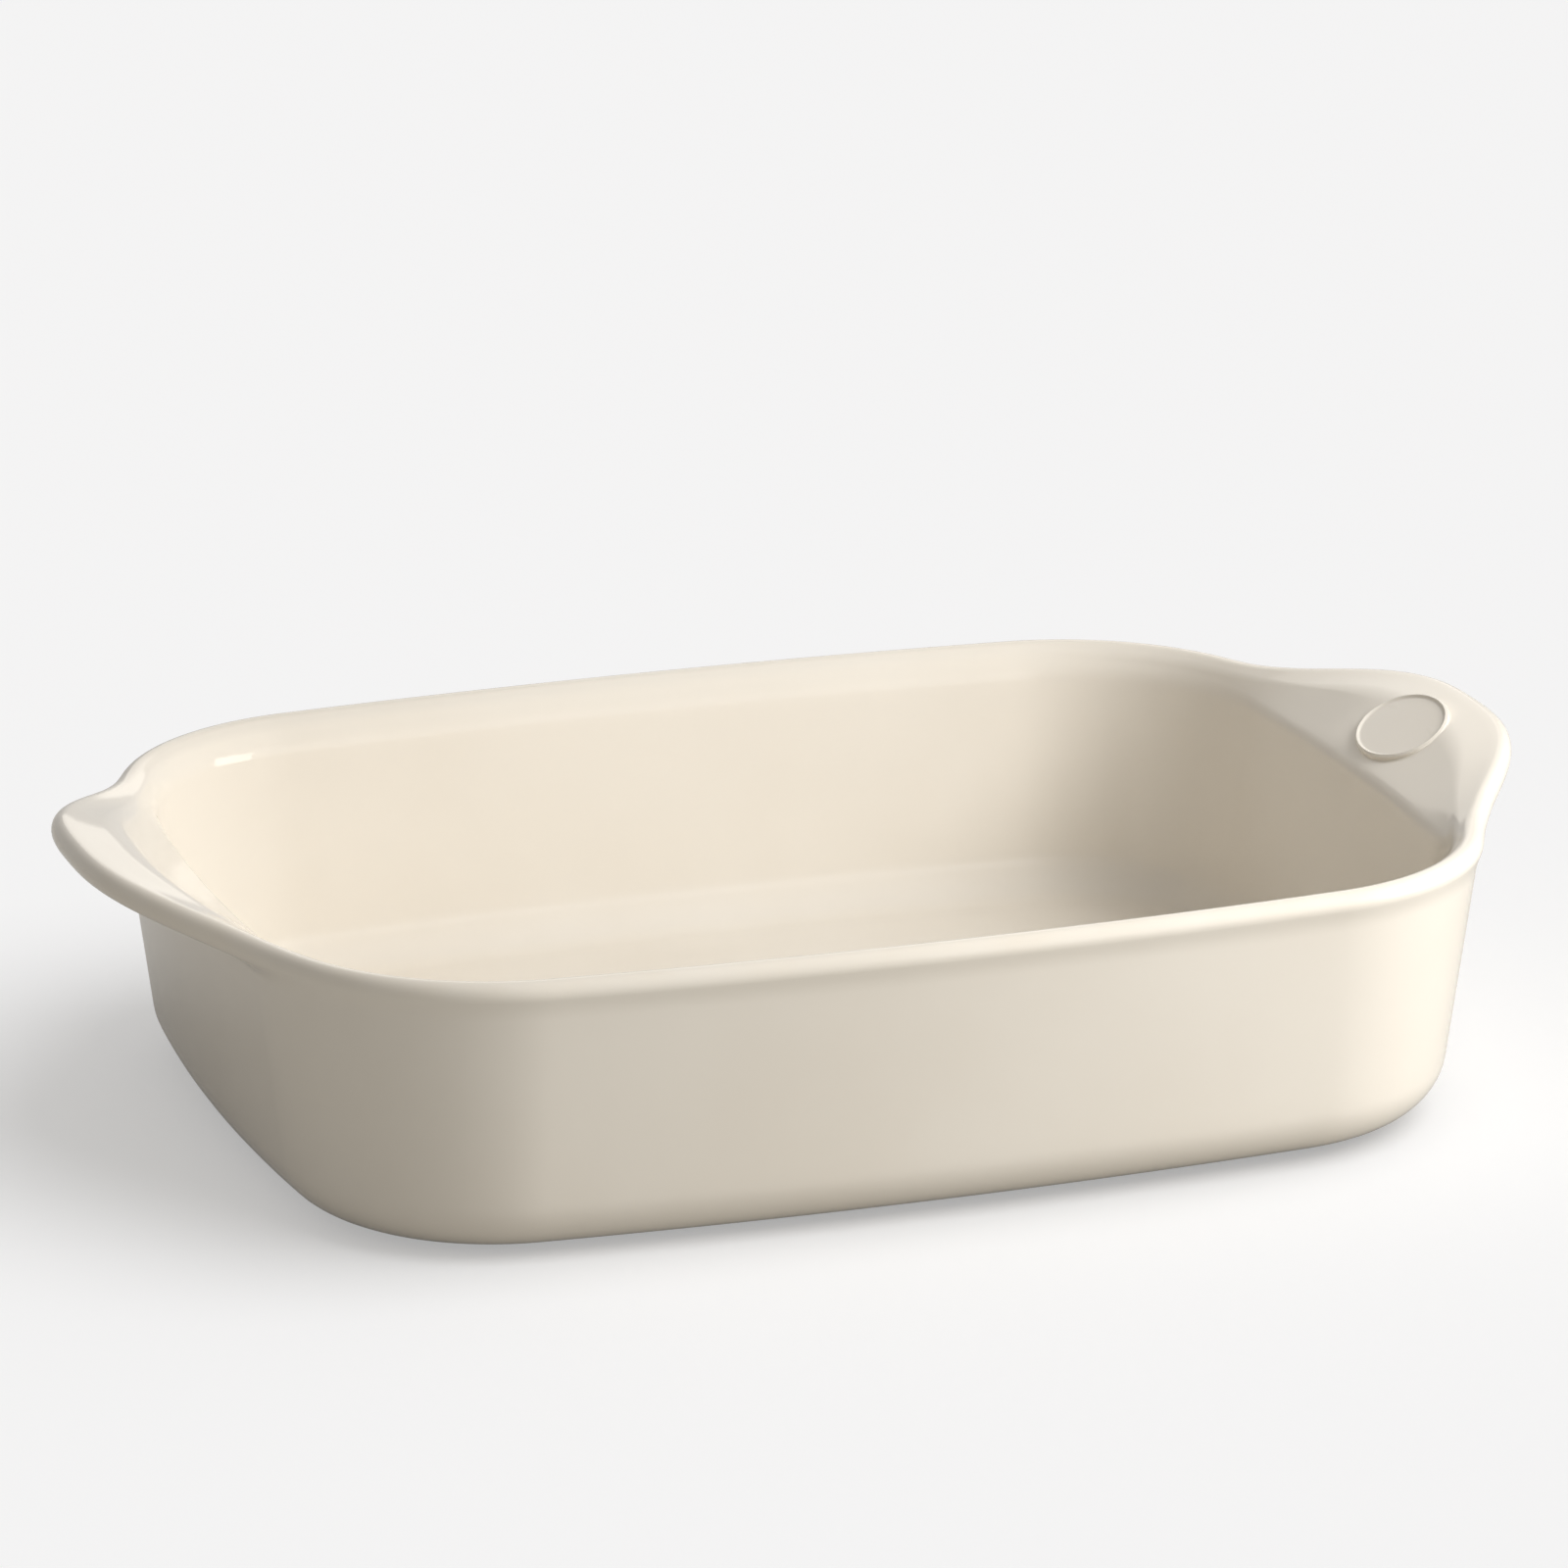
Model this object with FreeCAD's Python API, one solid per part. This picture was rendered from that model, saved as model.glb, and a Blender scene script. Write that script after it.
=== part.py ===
import FreeCAD, Part
import math
import os

V = FreeCAD.Vector
UP = V(0, 0, 1)

# Rim outline seen from above, in mm: a rectangle with bowed sides and round corners.
RIM_HALF_LENGTH = 165.0
RIM_HALF_WIDTH = 124.0
RIM_CORNER = 65.0
LONG_BOW = 11.0
SHORT_BOW = 12.0

# Heights above the table.
RIM_HEIGHT = 75.0
LIP_DEPTH = 15.0
RIM_SEAT = RIM_HEIGHT - LIP_DEPTH
FOOT_HEIGHT = 1.5
FLOOR_THICKNESS = 6.5

# Wall: insets are measured from the rim outline.
LIP_OVERHANG = 2.4
WALL_THICKNESS = 9.0
BASE_INSET = 10.0
BASE_ROUND = 16.0
CAVITY_INSET = 19.6
CAVITY_ROUND = 13.0
FLOOR_PLATE_INSET = 44.0

# Foot: a narrow bare ring inside the bottom rounding.
FOOT_INSET = 29.0
FOOT_WIDTH = 7.0

# Lip: the wall bends outward and rolls over a crown into a round edge, with a cove under it.
LIP_EDGE = 3.3
LIP_ROLL = 7.0
ROLL_INSET = 2.0
BEND_HEIGHT = 8.0
BEND_RUN = 4.0
COVE_HEIGHT = 7.0
COVE_RUN = 2.0

# Handles: at each short end the lip's edge grows out and up into a wing, and its crown into a broad hump.
WING_REACH = 26.6
WING_RISE = 8.6
WING_SIDE_INSET = 37.0
WING_HALF_WIDTH = RIM_HALF_WIDTH - WING_SIDE_INSET
WING_BULGE = 2.9
WING_TAPER = 3.5
HUMP_RISE = 7.1
HUMP_ROUND = 20.0
HUMP_OUT = 17.7
HUMP_SIDE_INSET = 52.0
HUMP_HALF_WIDTH = RIM_HALF_WIDTH - HUMP_SIDE_INSET
HUMP_BULGE = 3.0
HUMP_TAPER = 3.5
HUMP_SPREAD = 0.5
SEAM_GAP = 0.1

# Sections of the wing along one half of the short end, as shares of its half width.
SECTION_SHARES = [0.0, 0.14, 0.27, 0.38, 0.47, 0.55, 0.62, 0.69, 0.76, 0.84, 0.92, 1.0]

# Badge: a bare oval plate let into the inner slope of the right handle.
BADGE_HALF_WIDTH = 17.5
BADGE_HALF_LENGTH = 12.5
BADGE_CENTRE = 4.5
BADGE_LEAN = math.radians(29)
BADGE_SEAT_DEPTH = 2.2
BADGE_THICKNESS = 2.45
BADGE_RIDGE_WIDTH = 1.4
BADGE_RIDGE_HEIGHT = 0.55
SEAT_CUT = 16.0

# Leans of the two faces of the wall, as offset gained per height.
OUTER_LEAN = (BASE_INSET - LIP_OVERHANG) / (RIM_SEAT - FOOT_HEIGHT)
INNER_LEAN = (CAVITY_INSET - LIP_OVERHANG - WALL_THICKNESS) / (RIM_SEAT - FOOT_HEIGHT - FLOOR_THICKNESS)


def outline_frame(half_length, half_width, corner, long_bow, short_bow):
    """Centres, radii and joining angles of the arcs of a bowed rounded rectangle."""
    long_r = (half_length ** 2 + long_bow ** 2) / (2 * long_bow)
    short_r = (half_width ** 2 + short_bow ** 2) / (2 * short_bow)
    long_y = half_width - long_r
    short_x = half_length - short_r
    gap = math.hypot(short_x, long_y)
    from_long = long_r - corner
    from_short = short_r - corner
    along = (from_long ** 2 - from_short ** 2 + gap ** 2) / (2 * gap)
    across = math.sqrt(from_long ** 2 - along ** 2)
    ex, ey = short_x / gap, -long_y / gap
    corner_x = along * ex + across * -ey
    corner_y = long_y + along * ey + across * ex
    if corner_x < 0 or corner_y < 0:
        corner_x = along * ex + across * ey
        corner_y = long_y + along * ey - across * ex
    start = math.atan2(corner_y, corner_x - short_x)
    end = math.atan2(corner_y - long_y, corner_x)
    return dict(short_r=short_r, short_x=short_x, long_r=long_r, long_y=long_y,
                corner_r=corner, corner_x=corner_x, corner_y=corner_y, start=start, end=end)


def arcs_of(f):
    """The eight arcs as (centre x, centre y, radius, from angle, to angle)."""
    s, e, pi = f["start"], f["end"], math.pi
    cx, cy, r = f["corner_x"], f["corner_y"], f["corner_r"]
    return [(f["short_x"], 0, f["short_r"], -s, s),
            (cx, cy, r, s, e),
            (0, f["long_y"], f["long_r"], e, pi - e),
            (-cx, cy, r, pi - e, pi - s),
            (-f["short_x"], 0, f["short_r"], pi - s, pi + s),
            (-cx, -cy, r, pi + s, pi + e),
            (0, -f["long_y"], f["long_r"], pi + e, 2 * pi - e),
            (cx, -cy, r, 2 * pi - e, 2 * pi - s)]


def arc_point(arc, angle, offset, z):
    """Point at an angle on an arc, moved outward by an offset."""
    x, y, r = arc[:3]
    return V(x + (r + offset) * math.cos(angle), y + (r + offset) * math.sin(angle), z)


def outline_wire(offset, z):
    """Closed outline at a height, parallel to the rim's own outline."""
    edges = []
    for arc in arcs_of(RIM):
        a, b = arc[3], arc[4]
        points = [arc_point(arc, t, offset, z) for t in (a, (a + b) / 2, b)]
        edges.append(Part.Arc(*points).toShape())
    return Part.Wire(edges)


RIM = outline_frame(RIM_HALF_LENGTH, RIM_HALF_WIDTH, RIM_CORNER, LONG_BOW, SHORT_BOW)


def rounded(before, corner, after, radius=None, run=None):
    """Arc that rounds a corner of a section, as its start, middle and end (offset, height). Its size is given
    by its radius or by its run, the length that it takes from each of the two lines."""
    u = (before[0] - corner[0], before[1] - corner[1])
    w = (after[0] - corner[0], after[1] - corner[1])
    u_length, w_length = math.hypot(*u), math.hypot(*w)
    u = (u[0] / u_length, u[1] / u_length)
    w = (w[0] / w_length, w[1] / w_length)
    half = math.acos(u[0] * w[0] + u[1] * w[1]) / 2
    radius = radius or run * math.tan(half)
    run = run or radius / math.tan(half)
    middle = radius / math.sin(half) - radius
    inward = (u[0] + w[0], u[1] + w[1])
    size = math.hypot(*inward)
    return ((corner[0] + run * u[0], corner[1] + run * u[1]),
            (corner[0] + middle * inward[0] / size, corner[1] + middle * inward[1] / size),
            (corner[0] + run * w[0], corner[1] + run * w[1]))


def touching(point, centre, radius, side):
    """Where a line from a point touches a circle, passing above it (side 1) or under it (side -1)."""
    dx, dz = centre[0] - point[0], centre[1] - point[1]
    distance = math.hypot(dx, dz)
    angle = math.atan2(dz, dx) + side * math.asin(radius / distance)
    run = math.sqrt(distance ** 2 - radius ** 2)
    return point[0] + run * math.cos(angle), point[1] + run * math.sin(angle)


def bridging(first, first_r, second, second_r):
    """Where a straight line laid over two circles touches each of them."""
    dx, dz = second[0] - first[0], second[1] - first[1]
    angle = math.atan2(dz, dx) + math.acos((first_r - second_r) / math.hypot(dx, dz))
    return [(c[0] + r * math.cos(angle), c[1] + r * math.sin(angle))
            for c, r in ((first, first_r), (second, second_r))]


def over(centre, radius, start, end):
    """Arc of a circle that turns clockwise from a point to another, as its start, middle and end."""
    a = math.atan2(start[1] - centre[1], start[0] - centre[0])
    b = math.atan2(end[1] - centre[1], end[0] - centre[0])
    middle = a - (a - b) % (2 * math.pi) / 2
    return start, (centre[0] + radius * math.cos(middle), centre[1] + radius * math.sin(middle)), end


def section(arc, angle, steps):
    """Closed section in the upright plane through an arc's centre. Each step is a point (offset, height),
    or an arc given as its start, middle and end. Straight lines join the steps."""
    curves = [step if isinstance(step[0], tuple) else (step,) for step in steps]
    places = [[arc_point(arc, angle, q, z) for q, z in curve] for curve in curves]
    edges = []
    for before, curve in zip([places[-1]] + places, places):
        edges.append(Part.makeLine(before[-1], curve[0]))
        if len(curve) > 1:
            edges.append(Part.Arc(*curve).toShape())
    return Part.Wire(edges)


def wall_section(arc, angle):
    """Section of the wall with the outer part of the floor."""
    low, high = FOOT_HEIGHT, FOOT_HEIGHT + FLOOR_THICKNESS
    outer = (-LIP_OVERHANG, RIM_SEAT)
    inner = (-LIP_OVERHANG - WALL_THICKNESS, RIM_SEAT)
    bottom = (-FLOOR_PLATE_INSET, low)
    floor = (-FLOOR_PLATE_INSET, high)
    outside = rounded(bottom, (-BASE_INSET, low), outer, BASE_ROUND)
    inside = rounded(inner, (-CAVITY_INSET, high), floor, CAVITY_ROUND)
    return section(arc, angle, [bottom, outside, outer, inner, inside, floor])


def turned(wire, arc, start, end):
    """Solid swept by a section along one arc of the outline."""
    return Part.Face(wire).revolve(V(arc[0], arc[1], 0), UP, math.degrees(end - start))


def dish_body():
    """Floor and flared walls, open at the top, up to the seat of the lip."""
    plate = Part.Face(outline_wire(-FLOOR_PLATE_INSET, FOOT_HEIGHT)).extrude(V(0, 0, FLOOR_THICKNESS))
    walls = [turned(wall_section(arc, arc[3]), arc, arc[3], arc[4]) for arc in arcs_of(RIM)]
    return plate.multiFuse(walls).removeSplitter()


def foot_ring():
    """Bare ring that the dish stands on."""
    outer = Part.Face(outline_wire(-FOOT_INSET, 0))
    inner = Part.Face(outline_wire(-FOOT_INSET - FOOT_WIDTH, 0))
    return outer.cut(inner).extrude(V(0, 0, FOOT_HEIGHT))


def bell(y, half, bulge, taper):
    """One in the middle and nothing at both ends: the bulge flattens its top, the taper draws out its feet."""
    return max(0.0, 1 - (abs(y) / half) ** bulge) ** taper


def lip_steps(y):
    """Steps of the lip's section at a place along the short end: the inner wall's top, its bend outward,
    the crown, the round edge, the cove under it and the outer wall's top."""
    wing = bell(y, WING_HALF_WIDTH, WING_BULGE, WING_TAPER)
    hump = bell(y, HUMP_HALF_WIDTH, HUMP_BULGE, HUMP_TAPER)
    inner = (-LIP_OVERHANG - WALL_THICKNESS, RIM_SEAT)
    outer = (-LIP_OVERHANG, RIM_SEAT)
    bend = (inner[0] + INNER_LEAN * BEND_HEIGHT, RIM_SEAT + BEND_HEIGHT)
    cove = (outer[0] + OUTER_LEAN * COVE_HEIGHT, RIM_SEAT + COVE_HEIGHT)
    crown_r = LIP_ROLL + (HUMP_ROUND - LIP_ROLL) * hump
    out = HUMP_SPREAD * wing + (1 - HUMP_SPREAD) * hump
    crown = (HUMP_OUT * out - ROLL_INSET * (1 - out), RIM_HEIGHT + HUMP_RISE * hump - crown_r)
    edge = (WING_REACH * wing - LIP_EDGE, RIM_HEIGHT - LIP_EDGE + WING_RISE * wing)
    above = touching(bend, crown, crown_r, 1)
    below = touching(cove, edge, LIP_EDGE, -1)
    crown_end, edge_start = bridging(crown, crown_r, edge, LIP_EDGE)
    return [inner,
            rounded(inner, bend, above, run=BEND_RUN),
            over(crown, crown_r, above, crown_end),
            over(edge, LIP_EDGE, edge_start, below),
            rounded(below, cove, outer, run=COVE_RUN),
            outer]


def right_end_place(y):
    """Arc of the rim outline and angle on it at a place along the right end, which runs into the corners."""
    arcs = arcs_of(RIM)
    if abs(y) < RIM["short_r"] * math.sin(RIM["start"]):
        return arcs[0], math.asin(y / RIM["short_r"])
    corner = arcs[1] if y > 0 else arcs[7]
    return corner, math.asin((y - corner[1]) / corner[2])


def back_rim():
    """Lip of the back long side with its two corners, from handle to handle."""
    right, corner, back, far_corner, left = arcs_of(RIM)[:5]
    y = WING_HALF_WIDTH
    first, start = right_end_place(y + SEAM_GAP)
    chain = [right, corner, back, far_corner, left]
    if first != right:
        chain = [corner, back, far_corner]
    runs = [[arc, arc[3], arc[4]] for arc in chain]
    runs[0][1] = start
    runs[-1][2] = math.pi - start
    pieces = [turned(section(arc, a, lip_steps(y)), arc, a, b) for arc, a, b in runs]
    return pieces[0].multiFuse(pieces[1:]).removeSplitter()


def badge_plane():
    """Centre of the badge on the right handle's slope, its outward normal and its up-slope direction."""
    bend, crown = lip_steps(0)[1:3]
    low, high = bend[-1], crown[0]
    share = (BADGE_CENTRE - low[0]) / (high[0] - low[0])
    centre = V(RIM_HALF_LENGTH + BADGE_CENTRE, 0, low[1] + share * (high[1] - low[1]))
    along = V(math.cos(BADGE_LEAN), 0, math.sin(BADGE_LEAN))
    normal = V(-math.sin(BADGE_LEAN), 0, math.cos(BADGE_LEAN))
    return centre, normal, along


def oval(depth, thickness, margin):
    """Oval plate on the handle's slope, its lower face at a depth under the surface."""
    centre, normal, along = badge_plane()
    start = centre - normal * depth
    rim = Part.Ellipse(start + V(0, BADGE_HALF_WIDTH - margin, 0),
                       start + along * (BADGE_HALF_LENGTH - margin), start)
    return Part.Face(Part.Wire(rim.toShape())).extrude(normal * thickness)


def right_badge():
    """Bare oval plate with a thin raised ridge round it."""
    ridge_height = BADGE_THICKNESS + BADGE_RIDGE_HEIGHT
    ridge = oval(BADGE_SEAT_DEPTH, ridge_height, 0)
    field = oval(BADGE_SEAT_DEPTH - BADGE_THICKNESS, ridge_height, BADGE_RIDGE_WIDTH)
    return ridge.cut(field)


def right_wing():
    """Wing that grows out of the lip of the right end and runs out in its two corners."""
    half = [share * WING_HALF_WIDTH for share in SECTION_SHARES]
    places = [-y for y in reversed(half[1:])] + half
    return Part.makeLoft([section(*right_end_place(y), lip_steps(y)) for y in places], True, False)


def mirrored(shape, normal):
    """Copy on the other side of the dish."""
    return shape.mirror(V(0, 0, 0), normal)


def export(name, shape):
    """Write one node."""
    shape.exportStep("parts/" + name + ".step")


def main():
    os.makedirs("parts", exist_ok=True)
    back = back_rim()
    wing = right_wing()
    export("dish_body", dish_body())
    export("foot_ring", foot_ring())
    export("back_rim", back)
    export("front_rim", mirrored(back, V(0, 1, 0)))
    export("right_handle", wing.cut(oval(BADGE_SEAT_DEPTH, SEAT_CUT, 0)))
    export("left_handle", mirrored(wing, V(1, 0, 0)))
    export("right_badge", right_badge())


main()
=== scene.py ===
import math

import bpy
import numpy as np
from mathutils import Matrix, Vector


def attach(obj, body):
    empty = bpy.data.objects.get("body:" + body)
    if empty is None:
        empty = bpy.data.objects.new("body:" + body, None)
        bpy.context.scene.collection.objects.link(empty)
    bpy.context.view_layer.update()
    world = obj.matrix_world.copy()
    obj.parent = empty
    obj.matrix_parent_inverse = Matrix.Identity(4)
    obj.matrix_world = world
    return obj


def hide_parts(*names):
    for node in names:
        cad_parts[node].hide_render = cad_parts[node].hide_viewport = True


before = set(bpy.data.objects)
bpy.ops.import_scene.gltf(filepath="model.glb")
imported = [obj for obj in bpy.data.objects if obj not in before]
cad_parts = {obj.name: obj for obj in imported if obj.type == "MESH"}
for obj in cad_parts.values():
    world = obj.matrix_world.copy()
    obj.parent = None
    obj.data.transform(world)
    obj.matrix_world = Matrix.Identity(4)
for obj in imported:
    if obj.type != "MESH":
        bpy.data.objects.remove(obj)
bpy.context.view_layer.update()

# Shapes are worked out in mm, and their meshes are in metres.
MM = 0.001

# Rim outline seen from above.
RIM_HALF_LENGTH = 165.0
RIM_HALF_WIDTH = 124.0
RIM_CORNER = 65.0
LONG_BOW = 11.0
SHORT_BOW = 12.0

# Heights: the rim, how far the lip reaches down from it, the foot and the floor.
RIM_HEIGHT = 75.0
LIP_DEPTH = 15.0
FOOT_HEIGHT = 1.5
FLOOR_THICKNESS = 6.5

# Wall, with insets measured from the rim outline.
LIP_OVERHANG = 2.4
WALL_THICKNESS = 9.0
BASE_INSET = 10.0
BASE_ROUND = 16.0
CAVITY_INSET = 19.6
CAVITY_ROUND = 13.0
FLOOR_PLATE_INSET = 44.0

# Foot ring.
FOOT_INSET = 29.0
FOOT_WIDTH = 7.0
FOOT_SINK = 0.4
FOOT_EDGE = 0.5

# Lip: it bends outward, rolls over a crown and ends in a round edge with a cove under it.
LIP_EDGE = 3.3
LIP_ROLL = 7.0
ROLL_INSET = 2.0
BEND_HEIGHT = 8.0
BEND_RUN = 2.4
COVE_HEIGHT = 7.0
COVE_RUN = 2.0

# Wing handles: the wing is the outer edge, the hump is the rolled top.
WING_REACH = 26.6
WING_RISE = 8.6
WING_SIDE_INSET = 37.0
WING_BULGE = 2.9
WING_TAPER = 3.5
HUMP_RISE = 7.1
HUMP_ROUND = 20.0
HUMP_OUT = 17.7
HUMP_SIDE_INSET = 52.0
HUMP_BULGE = 3.0
HUMP_TAPER = 3.5
HUMP_SPREAD = 0.5

# Oval badge on the right handle, with heights above the slope and its ridge as shares of its radius.
BADGE_HALF_WIDTH = 17.5
BADGE_HALF_LENGTH = 12.5
BADGE_CENTRE = 4.5
BADGE_LEAN = math.radians(29)
BADGE_FIELD = 0.25
BADGE_RIDGE_HEIGHT = 0.55
BADGE_RIDGE_AT = 0.945
BADGE_RIDGE_SPREAD = 0.035
BADGE_SHOULDER = 0.975
BADGE_SKIRT = 2.2

# Points along each arc of the outline.
SHORT_STEPS = 112
CORNER_STEPS = 56
LONG_STEPS = 72

# Points along each curve of the section, then along each straight run.
HEEL_STEPS = 15
COVE_STEPS = 7
EDGE_STEPS = 14
ROLL_STEPS = 15
BEND_STEPS = 13
TOE_STEPS = 13
FLAT_STEPS = 3
OUTER_WALL_STEPS = 9
OVERHANG_STEPS = 9
BROW_STEPS = 3
SLOPE_STEPS = 7
INNER_WALL_STEPS = 10

# Rings of the floor and the underside, as shares of the way out from the middle.
FLOOR_RINGS = np.array([0.25, 0.5, 0.75])

# Points round the foot's edges, and rings of the badge: first share, last share and count, or a count alone.
FOOT_EDGE_STEPS = 6
BADGE_FIELD_RINGS = (0.08, 0.84, 12)
BADGE_RIDGE_RINGS = (0.855, BADGE_SHOULDER, 13)
BADGE_SHOULDER_RINGS = 6
BADGE_SKIRT_RINGS = 4
BADGE_ROUND_STEPS = 128

# Glaze. A range takes a pattern's low and high value to a low and high effect.
GLAZE_CREAM = (0.857, 0.798, 0.705, 1)
GLAZE_PALE = (0.882, 0.827, 0.738, 1)
GLAZE_THIN = (0.80, 0.68, 0.51, 1)
GLAZE_IOR = 1.5
GLAZE_SPECULAR = 0.3
CLOUD_NOISE = {"Scale": 14.0, "Detail": 3.0}
CLOUD_RANGE = (0.3, 0.7, 0.0, 1.0)
THIN_NOISE = {"Scale": 60.0, "Detail": 2.0}
THIN_RANGE = (0.35, 0.75, 0.03, 0.16)
SPECK_BROWN = (0.22, 0.13, 0.07, 1)
SPECK_SCALE = 55.0
SPECK_SIZE_RANGE = (0.018, 0.034, 1.0, 0.0)
SPECK_RARE_RANGE = (0.955, 0.965, 0.0, 0.55)
WAVE_NOISE = {"Scale": 32.0, "Detail": 1.0, "Roughness": 0.4}
WAVE_STRENGTH = 0.06
WAVE_DEPTH = 0.002
GLOSS_NOISE = {"Scale": 9.0, "Detail": 2.0}
GLOSS_RANGE = (0.3, 0.7, 0.06, 0.11)

# Bare clay of the foot.
CLAY = (0.62, 0.46, 0.31, 1)
CLAY_DARK = (0.45, 0.31, 0.20, 1)
CLAY_ROUGHNESS = 0.85
CLAY_CLOUD_NOISE = {"Scale": 22.0, "Detail": 3.0}
CLAY_CLOUD_RANGE = (0.35, 0.65, 0.0, 0.5)
GRAIN_NOISE = {"Scale": 420.0, "Detail": 4.0, "Roughness": 0.7}
GRAIN_RANGE = (0.55, 0.8, 0.0, 0.6)
GRAIN_STRENGTH = 0.35
GRAIN_DEPTH = 0.0004

# Table, background and sky, in metres. The table lies just under the foot, so that their faces don't fight.
FLOOR_SIZE = 14.0
FLOOR_DROP = 0.0001
FLOOR_TONE = (0.58, 0.583, 0.594, 1)
FLOOR_LIFT = 0.38
FLOOR_LIFT_TONE = (1, 1, 1, 1)
FLOOR_IN_GLAZE = 0.3
FLOOR_BOUNCE = (0.51, 0.495, 0.465, 1)
BACKGROUND = (0.62, 0.62, 0.625, 1)
SKY = (1.0, 0.975, 0.935, 1)
SKY_LEFT = 0.255
SKY_RIGHT = 0.62

# Softboxes: angles in degrees, azimuth from the right towards the front, sizes in metres and power in watts.
# The two cards show only as reflections in the glaze.
KEY_BOX = {"azimuth": 35.0, "elevation": 35.0, "distance": 0.9,
           "width": 0.5, "height": 0.5, "power": 6.2}
FRONT_BOX = {"azimuth": 60.0, "elevation": 15.0, "distance": 0.5,
             "width": 0.3, "height": 0.3, "power": 0.32}
BACK_CARD = {"azimuth": -72.0, "elevation": 26.5, "distance": 1.3,
             "width": 0.72, "height": 0.74, "power": 1.5}
SIDE_CARD = {"azimuth": 26.0, "elevation": 8.0, "distance": 0.9,
             "width": 0.46, "height": 0.42, "power": 4.4}
CARD_TINT = (1.0, 0.95, 0.86)
BOX_AIM = Vector((0.0, 0.0, 0.04))

# Sun on the table alone: where it comes from, its level and how wide it is in degrees.
TABLE_SUN = Vector((0.46, -0.30, 0.84))
TABLE_LEVEL = 1.76
TABLE_SOFTNESS = 55.0

# Camera: angles as for the softboxes, distance, target, lens and sensor in mm, and its clip in metres.
CAMERA_AZIMUTH = 109.28
CAMERA_ELEVATION = 17.32
CAMERA_DISTANCE = 2004.2
CAMERA_TARGET = Vector((-3.4, -2.26, 80.07))
CAMERA_LENS = 180.0
CAMERA_SENSOR = 36.0
CAMERA_CLIP = 50.0

# Sockets of Blender's mix node that carry colours.
MIX_FACTOR, MIX_FIRST, MIX_SECOND = 0, 6, 7
MIX_RESULT = 2


def outline_frame():
    """Centres, radii and joining angles of the arcs of the bowed rounded rectangle: each side is a circle
    through its bow, and the corner circle touches both sides from inside."""
    long_r = (RIM_HALF_LENGTH ** 2 + LONG_BOW ** 2) / (2 * LONG_BOW)
    short_r = (RIM_HALF_WIDTH ** 2 + SHORT_BOW ** 2) / (2 * SHORT_BOW)
    long_y, short_x = RIM_HALF_WIDTH - long_r, RIM_HALF_LENGTH - short_r
    gap = math.hypot(short_x, long_y)
    from_long, from_short = long_r - RIM_CORNER, short_r - RIM_CORNER
    along = (from_long ** 2 - from_short ** 2 + gap ** 2) / (2 * gap)
    across = math.sqrt(from_long ** 2 - along ** 2)
    ex, ey = short_x / gap, -long_y / gap
    corner_x, corner_y = along * ex + across * ey, long_y + along * ey - across * ex
    start = math.atan2(corner_y, corner_x - short_x)
    end = math.atan2(corner_y - long_y, corner_x)
    return short_x, short_r, long_y, long_r, corner_x, corner_y, start, end


def outline_walk():
    """Once round the outline, anticlockwise from the right end: the arc centre, the arc radius and the
    outward direction at each step. The second half of the arcs is the first half turned by half a turn."""
    short_x, short_r, long_y, long_r, corner_x, corner_y, start, end = outline_frame()
    pi = math.pi
    arcs = [(short_x, 0, short_r, -start, start, SHORT_STEPS),
            (corner_x, corner_y, RIM_CORNER, start, end, CORNER_STEPS),
            (0, long_y, long_r, end, pi - end, LONG_STEPS),
            (-corner_x, corner_y, RIM_CORNER, pi - end, pi - start, CORNER_STEPS)]
    arcs += [(-x, -y, r, a + pi, b + pi, n) for x, y, r, a, b, n in arcs]
    angle = np.concatenate([np.linspace(a, b, n, endpoint=False) for *_, a, b, n in arcs])
    centre = np.concatenate([np.tile([x, y], (n, 1)) for x, y, *_, n in arcs])
    radius = np.concatenate([np.full(n, r) for _, _, r, _, _, n in arcs])
    return centre, radius, np.stack([np.cos(angle), np.sin(angle)], 1)


def carried(section):
    """A section of (offset, height) carried round the outline: each point stands off the arc's centre by the
    arc's radius and its own offset. One section serves every step, or each step has its own."""
    centre, radius, outward = outline_walk()
    plan = centre[:, None] + (radius[:, None] + section[:, :, 0])[:, :, None] * outward[:, None]
    height = np.broadcast_to(section[:, :, 1:], plan.shape[:2] + (1,))
    return np.concatenate([plan, height], 2)


def bell(y, half, bulge, taper):
    """One in the middle, falling to nothing at both ends: the bulge flattens its top, the taper draws out
    its feet."""
    return np.maximum(0, 1 - (np.abs(y) / half) ** bulge) ** taper


def edge_circles(y):
    """The two circles that the lip rolls over: the crown on top, with its radius, and the outer edge. Both
    move out and up by their bells along the short end."""
    wing = bell(y, RIM_HALF_WIDTH - WING_SIDE_INSET, WING_BULGE, WING_TAPER)
    hump = bell(y, RIM_HALF_WIDTH - HUMP_SIDE_INSET, HUMP_BULGE, HUMP_TAPER)
    crown_r = LIP_ROLL + (HUMP_ROUND - LIP_ROLL) * hump
    out = HUMP_SPREAD * wing + (1 - HUMP_SPREAD) * hump
    crown_q = HUMP_OUT * out - ROLL_INSET * (1 - out)
    crown_z = RIM_HEIGHT + HUMP_RISE * hump - crown_r
    edge_q = WING_REACH * wing - LIP_EDGE
    edge_z = RIM_HEIGHT - LIP_EDGE + WING_RISE * wing
    return np.stack([crown_q, crown_z], 1), crown_r, np.stack([edge_q, edge_z], 1)


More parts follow.
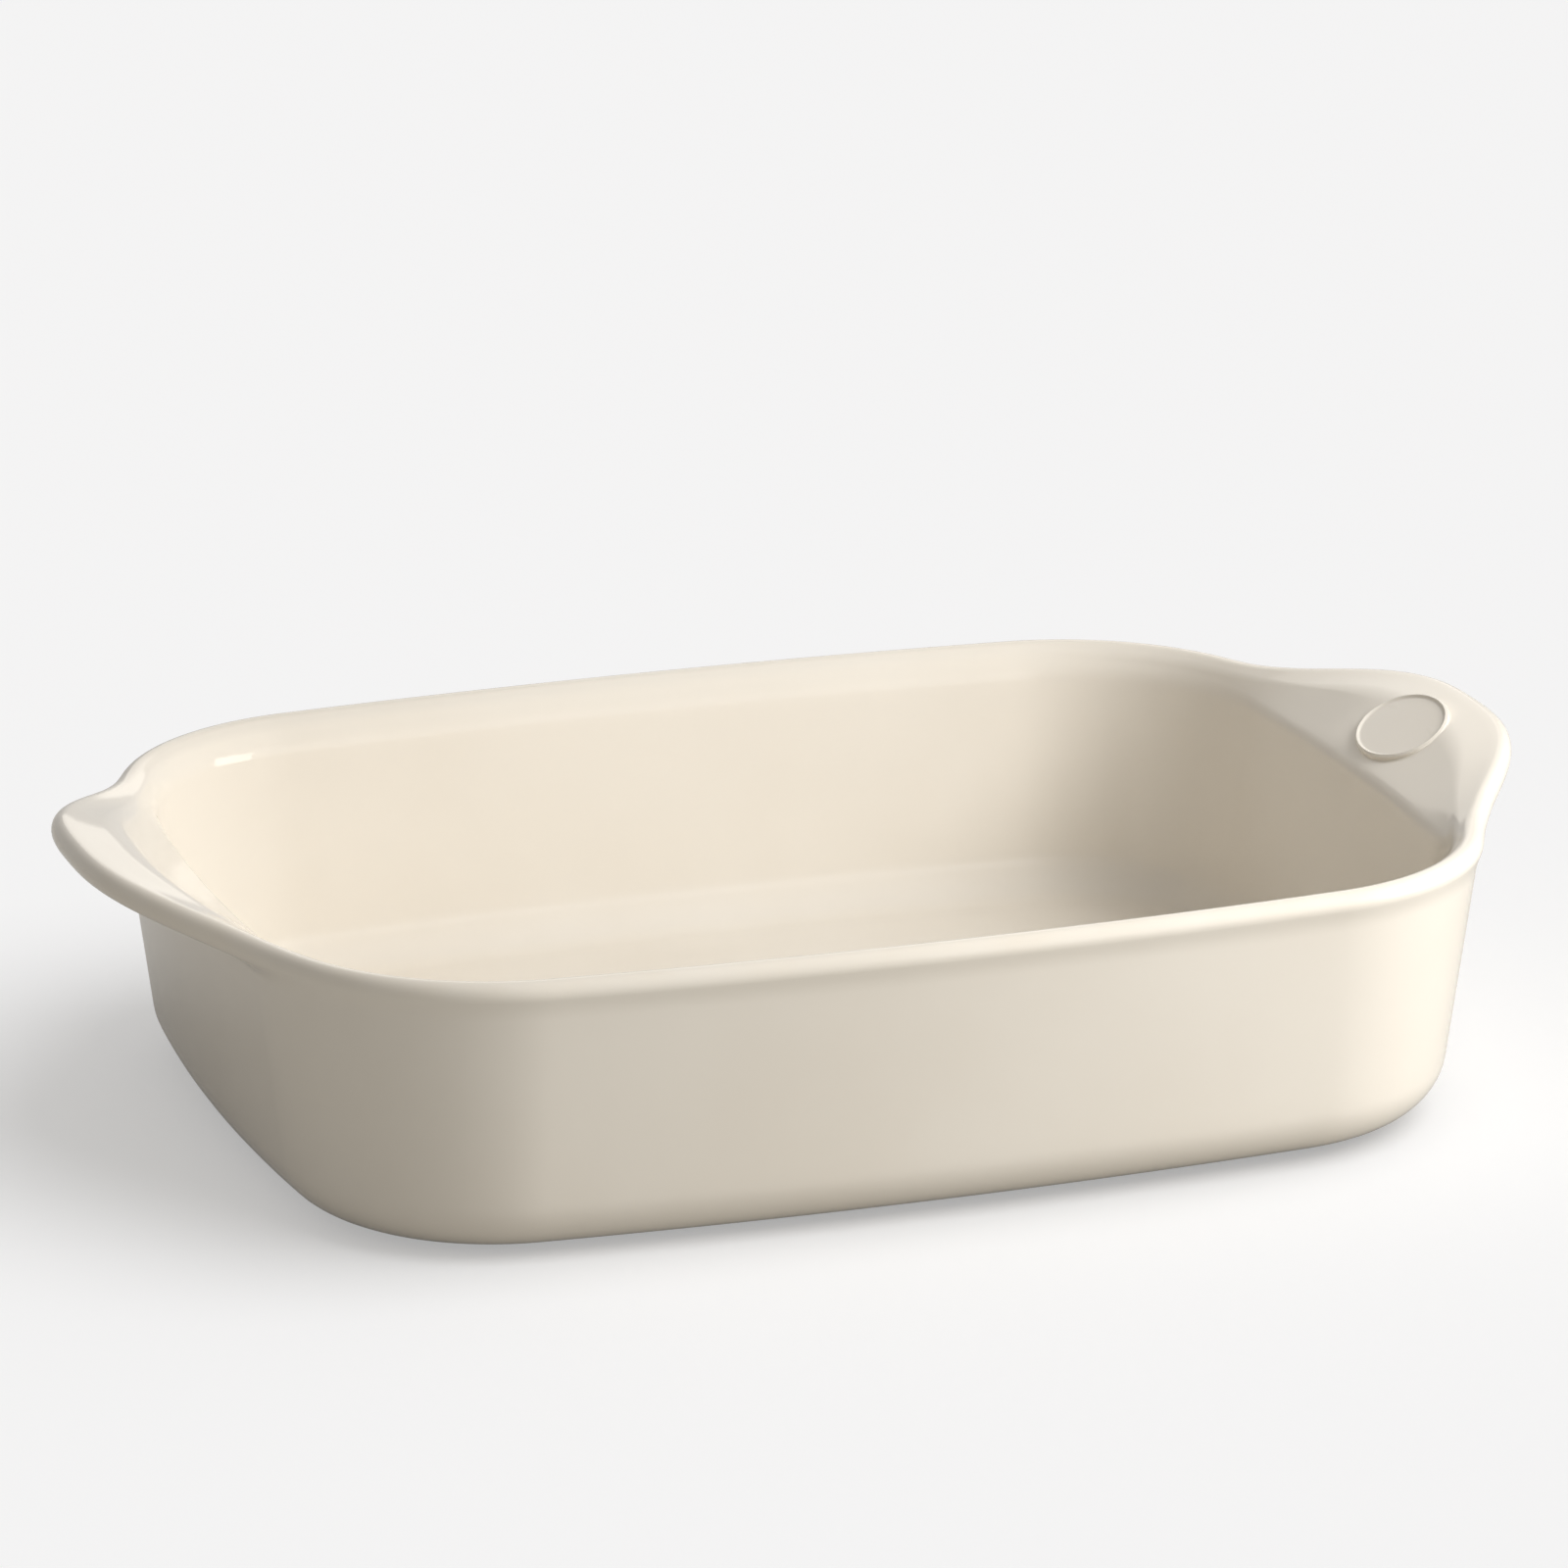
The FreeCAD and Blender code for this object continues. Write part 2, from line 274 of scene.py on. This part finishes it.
def arc_points(centre, start, end, count, clockwise):
    """Points on a circle from one of its points to another, for a whole row of sections at once."""
    a = np.arctan2(*(start - centre).T[::-1])
    b = np.arctan2(*(end - centre).T[::-1])
    turn = (a - b) % (2 * math.pi) if clockwise else -((b - a) % (2 * math.pi))
    t = a[:, None] - turn[:, None] * np.linspace(0, 1, count)
    r = np.linalg.norm(start - centre, axis=1)[:, None]
    return centre[:, None] + np.stack([r * np.cos(t), r * np.sin(t)], 2)


def rounded(before, corner, after, count, radius=None, run=None):
    """A corner of the section rounded by a circle that touches both of its lines, given by its radius or by
    the run that it takes from each line."""
    u = before - corner
    w = after - corner
    u = u / np.linalg.norm(u, axis=1)[:, None]
    w = w / np.linalg.norm(w, axis=1)[:, None]
    half = np.arccos((u * w).sum(1)) / 2
    radius = run * np.tan(half) if radius is None else radius
    run = (radius / np.tan(half))[:, None]
    inward = (u + w) / np.linalg.norm(u + w, axis=1)[:, None]
    centre = corner + inward * (radius / np.sin(half))[:, None]
    clockwise = u[0, 0] * w[0, 1] - u[0, 1] * w[0, 0] > 0
    return arc_points(centre, corner + run * u, corner + run * w, count, clockwise)


def touching(point, centre, radius, side):
    """Where a line from a point touches a circle, above it (side 1) or under it (side -1)."""
    d = centre - point
    distance = np.linalg.norm(d, axis=1)
    angle = np.arctan2(d[:, 1], d[:, 0]) + side * np.arcsin(radius / distance)
    run = np.sqrt(distance ** 2 - radius ** 2)[:, None]
    return point + run * np.stack([np.cos(angle), np.sin(angle)], 1)


def bridging(first, first_r, second, second_r):
    """Where a straight line laid over two circles touches each of them."""
    d = second - first
    angle = np.arctan2(d[:, 1], d[:, 0]) + np.arccos((first_r - second_r) / np.linalg.norm(d, axis=1))
    normal = np.stack([np.cos(angle), np.sin(angle)], 1)
    return first + first_r[:, None] * normal, second + second_r * normal


def straight(start, end, count):
    """Points evenly along a straight line, without its two ends."""
    t = np.linspace(0, 1, count + 2)[1:-1, None]
    return start[:, None] * (1 - t) + end[:, None] * t


def lip_frame(y):
    """Turning points of the lip's section at each place: the wall's inner and outer top, and the bend and the
    cove, which lie higher on the wall's leaning lines."""
    seat = RIM_HEIGHT - LIP_DEPTH
    inner_lean = (CAVITY_INSET - LIP_OVERHANG - WALL_THICKNESS) / (seat - FOOT_HEIGHT - FLOOR_THICKNESS)
    outer_lean = (BASE_INSET - LIP_OVERHANG) / (seat - FOOT_HEIGHT)
    inner_q, outer_q = -LIP_OVERHANG - WALL_THICKNESS, -LIP_OVERHANG
    one = np.ones((len(y), 1))
    bend = one * [inner_q + inner_lean * BEND_HEIGHT, seat + BEND_HEIGHT]
    cove = one * [outer_q + outer_lean * COVE_HEIGHT, seat + COVE_HEIGHT]
    return one * [inner_q, seat], one * [outer_q, seat], bend, cove


def dish_section(y):
    """Section of the dish as (offset, height) from the underside, up the outer wall, over the lip and down
    the inner wall to the floor, one row for each place along the outline. With it comes each point's share
    in the lip's round edge, a half sine wave over the edge and nothing elsewhere."""
    inner, outer, bend, cove = lip_frame(y)
    crown, crown_r, edge = edge_circles(y)
    slope_top, below = touching(bend, crown, crown_r, 1), touching(cove, edge, LIP_EDGE, -1)
    crown_end, edge_start = bridging(crown, crown_r, edge, LIP_EDGE)
    one = np.ones((len(y), 1))
    low, high = FOOT_HEIGHT, FOOT_HEIGHT + FLOOR_THICKNESS
    bottom, base = one * [-FLOOR_PLATE_INSET, low], one * [-BASE_INSET, low]
    floor, cavity = one * [-FLOOR_PLATE_INSET, high], one * [-CAVITY_INSET, high]
    heel = rounded(bottom, base, outer, HEEL_STEPS, radius=BASE_ROUND)
    under = rounded(outer, cove, below, COVE_STEPS, run=COVE_RUN)
    rim = arc_points(edge, below, edge_start, EDGE_STEPS, False)
    roll = arc_points(crown, crown_end, slope_top, ROLL_STEPS, False)
    turn = rounded(slope_top, bend, inner, BEND_STEPS, run=BEND_RUN)
    toe = rounded(inner, cavity, floor, TOE_STEPS, radius=CAVITY_ROUND)
    outside = np.concatenate([bottom[:, None], straight(bottom, heel[:, 0], FLAT_STEPS), heel,
                              straight(heel[:, -1], under[:, 0], OUTER_WALL_STEPS), under,
                              straight(under[:, -1], below, OVERHANG_STEPS)], 1)
    inside = np.concatenate([straight(edge_start, crown_end, BROW_STEPS), roll,
                             straight(slope_top, turn[:, 0], SLOPE_STEPS), turn,
                             straight(turn[:, -1], toe[:, 0], INNER_WALL_STEPS), toe,
                             straight(toe[:, -1], floor, FLAT_STEPS), floor[:, None]], 1)
    on_edge = np.concatenate([np.zeros(outside.shape[1]), np.sin(np.linspace(0, math.pi, EDGE_STEPS)),
                              np.zeros(inside.shape[1])])
    return np.concatenate([outside, rim, inside], 1), on_edge


def in_scene(name, data):
    """A new object for a mesh, a lamp or a camera, put into the scene."""
    made = bpy.data.objects.new(name, data)
    bpy.context.scene.collection.objects.link(made)
    return made


def mesh_from_grid(name, grid, poles=(None, None)):
    """Quads over a grid of points, joined round its first direction, with a fan at each end that has a
    pole."""
    rows, columns = grid.shape[:2]
    ring = np.arange(rows)
    after = (ring + 1) % rows
    near = ring[:, None] * columns + np.arange(columns - 1)
    far = after[:, None] * columns + np.arange(columns - 1)
    points = grid.reshape(-1, 3)
    faces = np.stack([near, far, far + 1, near + 1], 2).reshape(-1, 4).tolist()
    for pole, column, a, b in ((poles[0], 0, after, ring), (poles[1], columns - 1, ring, after)):
        if pole is not None:
            tip = np.full(rows, len(points))
            faces += np.stack([a * columns + column, b * columns + column, tip], 1).tolist()
            points = np.vstack([points, pole])
    mesh = bpy.data.meshes.new(name)
    mesh.from_pydata(points * MM, [], faces)
    mesh.shade_smooth()
    return in_scene(name, mesh)


def drawn_in(ring, shares):
    """Rings level with a closed ring, each at a share of its distance from the middle."""
    plan = ring[:, None, :2] * shares[:, None]
    height = np.broadcast_to(ring[:, None, 2:], plan.shape[:2] + (1,))
    return np.concatenate([plan, height], 2)


def glazed_shell():
    """The dish in one skin: the section carried round the outline, then drawn in to the middle of the floor
    and of the underside. The edge attribute says how far a point is on the lip's round edge."""
    centre, radius, outward = outline_walk()
    section, on_edge = dish_section(centre[:, 1] + radius * outward[:, 1])
    skin = carried(section)
    under, floor = skin[:, 0], skin[:, -1]
    grid = np.concatenate([drawn_in(under, FLOOR_RINGS), skin, drawn_in(floor, FLOOR_RINGS[::-1])], 1)
    poles = ((0, 0, under[0, 2]), (0, 0, floor[0, 2]))
    piece = mesh_from_grid("glazed_shell", grid, poles)
    off_edge = np.zeros(len(FLOOR_RINGS))
    share = np.tile(np.concatenate([off_edge, on_edge, off_edge]), len(grid))
    values = np.concatenate([share, np.zeros(len(poles))]).astype(np.float32)
    piece.data.attributes.new("edge", "FLOAT", "POINT").data.foreach_set("value", values)
    return piece


def foot():
    """Ring under the floor: a low section with rounded lower edges carried round the outline."""
    outer_q, inner_q = -FOOT_INSET, -FOOT_INSET - FOOT_WIDTH
    top = FOOT_HEIGHT + FOOT_SINK
    t = np.linspace(0, math.pi / 2, FOOT_EDGE_STEPS)
    inner = np.stack([inner_q + FOOT_EDGE * (1 - np.cos(t)), FOOT_EDGE * (1 - np.sin(t))], 1)
    outer = np.stack([outer_q - FOOT_EDGE * (1 - np.sin(t)), FOOT_EDGE * (1 - np.cos(t))], 1)
    profile = np.vstack([[(inner_q, top)], inner, outer, [(outer_q, top)]])
    return mesh_from_grid("foot", carried(profile[None]))


def badge_plane():
    """Middle of the badge on the right handle's slope, its two half axes and its normal. The slope is the
    line from the lip's bend to where it touches the crown, halfway along the short end."""
    middle = np.zeros(1)
    bend = lip_frame(middle)[2]
    crown, crown_r, _ = edge_circles(middle)
    rise = (touching(bend, crown, crown_r, 1) - bend)[0]
    centre_z = bend[0, 1] + (BADGE_CENTRE - bend[0, 0]) * rise[1] / rise[0]
    centre = np.array([RIM_HALF_LENGTH + BADGE_CENTRE, 0, centre_z])
    along = np.array([math.cos(BADGE_LEAN), 0, math.sin(BADGE_LEAN)]) * BADGE_HALF_LENGTH
    across = np.array([0, BADGE_HALF_WIDTH, 0])
    normal = np.array([-math.sin(BADGE_LEAN), 0, math.cos(BADGE_LEAN)])
    return centre, along, across, normal


def badge():
    """Oval plate let into the right handle's slope: rings of an ellipse on a leaning plane, each raised by a
    height that is flat in the field, swells to a ridge, rounds off at the shoulder and drops under the
    slope."""
    inner = np.concatenate([np.linspace(*BADGE_FIELD_RINGS), np.linspace(*BADGE_RIDGE_RINGS)])
    swell = BADGE_FIELD + BADGE_RIDGE_HEIGHT * np.exp(-((inner - BADGE_RIDGE_AT) / BADGE_RIDGE_SPREAD) ** 2)
    turn = np.linspace(0, math.pi / 2, BADGE_SHOULDER_RINGS + 1)[1:]
    shoulder = BADGE_SHOULDER + (1 - BADGE_SHOULDER) * np.sin(turn)
    fall = swell[-1] - BADGE_RIDGE_HEIGHT * (1 - np.cos(turn))
    skirt = np.linspace(fall[-1], -BADGE_SKIRT, BADGE_SKIRT_RINGS + 1)[1:]
    share = np.concatenate([inner, shoulder, np.ones(len(skirt))])[None, :, None]
    height = np.concatenate([swell, fall, skirt])[None, :, None]
    t = np.linspace(0, 2 * math.pi, BADGE_ROUND_STEPS, endpoint=False)[:, None, None]
    centre, along, across, normal = badge_plane()
    grid = centre + share * (np.cos(t) * along + np.sin(t) * across) + height * normal
    return mesh_from_grid("badge_relief", grid[::-1], (grid[:, 0].mean(0), None))


def feed(tree, socket, value):
    """Sets a socket to a value, or links it where the value is a socket."""
    if isinstance(value, bpy.types.NodeSocket):
        tree.links.new(value, socket)
    else:
        socket.default_value = value


def node(tree, kind, **inputs):
    """A shader node with its inputs fed by name."""
    made = tree.nodes.new(kind)
    for key, value in inputs.items():
        feed(tree, made.inputs[key.replace("_", " ")], value)
    return made


def fresh_material(name):
    """An empty node material, its tree and its output."""
    material = bpy.data.materials.new(name)
    material.use_nodes = True
    tree = material.node_tree
    tree.nodes.clear()
    return material, tree, tree.nodes.new("ShaderNodeOutputMaterial")


def blend_colour(tree, factor, first, second):
    """Mix of two colours: the first at a factor of nothing, the second at one."""
    mix = tree.nodes.new("ShaderNodeMix")
    mix.data_type = "RGBA"
    for socket, value in ((MIX_FACTOR, factor), (MIX_FIRST, first), (MIX_SECOND, second)):
        feed(tree, mix.inputs[socket], value)
    return mix.outputs[MIX_RESULT]


def blend_shader(tree, factor, first, second):
    """Mix of two shader nodes: the first at a factor of nothing, the second at one."""
    mix = node(tree, "ShaderNodeMixShader", Fac=factor)
    tree.links.new(first.outputs[0], mix.inputs[1])
    tree.links.new(second.outputs[0], mix.inputs[2])
    return mix.outputs[0]


def arithmetic(tree, operation, first, second):
    """Two values put together by one operation, such as their product or the larger of them."""
    made = tree.nodes.new("ShaderNodeMath")
    made.operation = operation
    feed(tree, made.inputs[0], first)
    feed(tree, made.inputs[1], second)
    return made.outputs[0]


def ranged(tree, value, low, high, to_low, to_high):
    """A value brought from one range to another, smoothly."""
    made = node(tree, "ShaderNodeMapRange", Value=value, From_Min=low, From_Max=high, To_Min=to_low,
                To_Max=to_high)
    made.interpolation_type = "SMOOTHSTEP"
    return made.outputs["Result"]


def noise(tree, place, settings):
    """Cloudy noise in the piece's own space."""
    return node(tree, "ShaderNodeTexNoise", Vector=place, **settings).outputs["Fac"]


def cream_glaze():
    """Glossy cream glaze: slow clouds between two creams, thinner and warmer on edges, rare tiny specks, a
    faint wave in the surface and slightly uneven gloss."""
    material, tree, out = fresh_material("cream_glaze")
    place = tree.nodes.new("ShaderNodeTexCoord").outputs["Object"]
    cloud = ranged(tree, noise(tree, place, CLOUD_NOISE), *CLOUD_RANGE)
    tone = blend_colour(tree, cloud, GLAZE_CREAM, GLAZE_PALE)
    edge = tree.nodes.new("ShaderNodeAttribute")
    edge.attribute_name = "edge"
    thin = ranged(tree, noise(tree, place, THIN_NOISE), *THIN_RANGE)
    tone = blend_colour(tree, arithmetic(tree, "MULTIPLY", edge.outputs["Fac"], thin), tone, GLAZE_THIN)
    cells = node(tree, "ShaderNodeTexVoronoi", Vector=place, Scale=SPECK_SCALE)
    dot = ranged(tree, cells.outputs["Distance"], *SPECK_SIZE_RANGE)
    draw = node(tree, "ShaderNodeSeparateColor", Color=cells.outputs["Color"]).outputs["Red"]
    rare = ranged(tree, draw, *SPECK_RARE_RANGE)
    tone = blend_colour(tree, arithmetic(tree, "MULTIPLY", rare, dot), tone, SPECK_BROWN)
    wave = noise(tree, place, WAVE_NOISE)
    bump = node(tree, "ShaderNodeBump", Strength=WAVE_STRENGTH, Distance=WAVE_DEPTH, Height=wave)
    gloss = ranged(tree, noise(tree, place, GLOSS_NOISE), *GLOSS_RANGE)
    surface = node(tree, "ShaderNodeBsdfPrincipled", Base_Color=tone, Normal=bump.outputs[0], Roughness=gloss,
                   IOR=GLAZE_IOR, Specular_IOR_Level=GLAZE_SPECULAR)
    tree.links.new(surface.outputs[0], out.inputs[0])
    return material


def bare_clay():
    """Unglazed fired clay: warm, matt and cloudy, with darker grains that also roughen the surface."""
    material, tree, out = fresh_material("bare_clay")
    place = tree.nodes.new("ShaderNodeTexCoord").outputs["Object"]
    cloud = ranged(tree, noise(tree, place, CLAY_CLOUD_NOISE), *CLAY_CLOUD_RANGE)
    grain = noise(tree, place, GRAIN_NOISE)
    tone = blend_colour(tree, cloud, CLAY, CLAY_DARK)
    tone = blend_colour(tree, ranged(tree, grain, *GRAIN_RANGE), tone, CLAY_DARK)
    bump = node(tree, "ShaderNodeBump", Strength=GRAIN_STRENGTH, Distance=GRAIN_DEPTH, Height=grain)
    surface = node(tree, "ShaderNodeBsdfPrincipled", Base_Color=tone, Normal=bump.outputs[0],
                   Roughness=CLAY_ROUGHNESS)
    tree.links.new(surface.outputs[0], out.inputs[0])
    return material


def seen(tree, in_glaze=1.0):
    """One for what the camera sees, directly or through glass, the given share for what it sees in the glaze,
    and nothing for other light."""
    path = tree.nodes.new("ShaderNodeLightPath")
    mirrored = arithmetic(tree, "MULTIPLY", path.outputs["Is Glossy Ray"], in_glaze)
    direct = arithmetic(tree, "MAXIMUM", path.outputs["Is Camera Ray"], path.outputs["Is Transmission Ray"])
    return arithmetic(tree, "MAXIMUM", direct, mirrored)


def pale_floor():
    """Pale table: where it is seen it is lifted, so that its shadows stay light. It bounces less light."""
    material, tree, out = fresh_material("pale_floor")
    tone = node(tree, "ShaderNodeBsdfDiffuse", Color=FLOOR_TONE)
    lift = node(tree, "ShaderNodeEmission", Color=FLOOR_LIFT_TONE, Strength=FLOOR_LIFT)
    lifted = tree.nodes.new("ShaderNodeAddShader")
    tree.links.new(tone.outputs[0], lifted.inputs[0])
    tree.links.new(lift.outputs[0], lifted.inputs[1])
    bounce = node(tree, "ShaderNodeBsdfDiffuse", Color=FLOOR_BOUNCE)
    tree.links.new(blend_shader(tree, seen(tree, FLOOR_IN_GLAZE), bounce, lifted), out.inputs[0])
    half, level = FLOOR_SIZE / 2, -FLOOR_DROP
    corners = [(-half, -half, level), (half, -half, level), (half, half, level), (-half, half, level)]
    mesh = bpy.data.meshes.new("table")
    mesh.from_pydata(corners, [], [(0, 1, 2, 3)])
    mesh.materials.append(material)
    table = in_scene("table", mesh)
    return table


def studio_world():
    """Sky light that grows from left to right, with the pale background where it is seen."""
    world = bpy.data.worlds.new("studio")
    bpy.context.scene.world = world
    world.use_nodes = True
    tree = world.node_tree
    tree.nodes.clear()
    place = tree.nodes.new("ShaderNodeTexCoord").outputs["Generated"]
    across = node(tree, "ShaderNodeSeparateXYZ", Vector=place).outputs["X"]
    level = ranged(tree, across, -1.0, 1.0, SKY_LEFT, SKY_RIGHT)
    sky = node(tree, "ShaderNodeBackground", Color=SKY, Strength=level)
    backdrop = node(tree, "ShaderNodeBackground", Color=BACKGROUND, Strength=1.0)
    out = tree.nodes.new("ShaderNodeOutputWorld")
    tree.links.new(blend_shader(tree, seen(tree), sky, backdrop), out.inputs[0])


def direction(azimuth, elevation):
    """Direction from two angles in degrees: round from the right towards the front, then up."""
    a, e = math.radians(azimuth), math.radians(elevation)
    return Vector((math.cos(e) * math.cos(a), -math.cos(e) * math.sin(a), math.sin(e)))


def facing(away):
    """Turn of a lamp or camera that stands off in a direction and looks back along it."""
    return away.to_track_quat("Z", "Y").to_euler()


def lit_by(lamp, pieces):
    """Keeps a lamp's light to some pieces. The others still cast their shadows."""
    group = bpy.data.collections.new(lamp.name + "_lights")
    for piece in pieces:
        group.objects.link(piece)
    lamp.light_linking.receiver_collection = group


def softbox(name, pieces, azimuth, elevation, distance, width, height, power):
    """Soft box that stands off from its aim in a direction and lights the dish alone."""
    away = direction(azimuth, elevation)
    data = bpy.data.lights.new(name, "AREA")
    data.shape = "RECTANGLE"
    data.size, data.size_y = width, height
    data.energy = power
    lamp = in_scene(name, data)
    lamp.location = BOX_AIM + away * distance
    lamp.rotation_euler = facing(away)
    lamp.visible_camera = False
    lit_by(lamp, pieces)
    return lamp


def table_sun(table):
    """Soft light from the right that lays the dish's shadow on the table."""
    data = bpy.data.lights.new("table_sun", "SUN")
    data.energy = TABLE_LEVEL
    data.angle = math.radians(TABLE_SOFTNESS)
    lamp = in_scene("table_sun", data)
    lamp.rotation_euler = facing(TABLE_SUN)
    lit_by(lamp, [table])


def photo_camera():
    """Camera that stands off from its target in a direction, by its distance."""
    back = direction(CAMERA_AZIMUTH, CAMERA_ELEVATION)
    data = bpy.data.cameras.new("camera")
    data.lens = CAMERA_LENS
    data.sensor_width = CAMERA_SENSOR
    data.clip_end = CAMERA_CLIP
    camera = in_scene("camera", data)
    camera.location = (CAMERA_TARGET + back * CAMERA_DISTANCE) * MM
    camera.rotation_euler = facing(back)
    bpy.context.scene.camera = camera


def dress():
    """Makes every piece, gives it its finish and puts it on the body."""
    glaze, clay = cream_glaze(), bare_clay()
    shell_nodes = ["dish_body", "front_rim", "back_rim", "left_handle", "right_handle"]
    dressed = [(glazed_shell(), glaze, "glaze", shell_nodes),
               (foot(), clay, "bare_clay", ["foot_ring"]),
               (badge(), glaze, "glaze", ["right_badge"])]
    for piece, finish, slot, nodes in dressed:
        piece.data.materials.append(finish)
        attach(piece, "root")
        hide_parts(*nodes)
    return [piece for piece, *_ in dressed]


pieces = dress()
studio_world()
softbox("key", pieces, **KEY_BOX).visible_glossy = False
softbox("front_fill", pieces, **FRONT_BOX)
for name, place in (("back_card", BACK_CARD), ("side_card", SIDE_CARD)):
    card = softbox(name, pieces, **place)
    card.data.color = CARD_TINT
    card.visible_diffuse = False
table_sun(pale_floor())
photo_camera()
bpy.context.scene.view_settings.view_transform = "Standard"
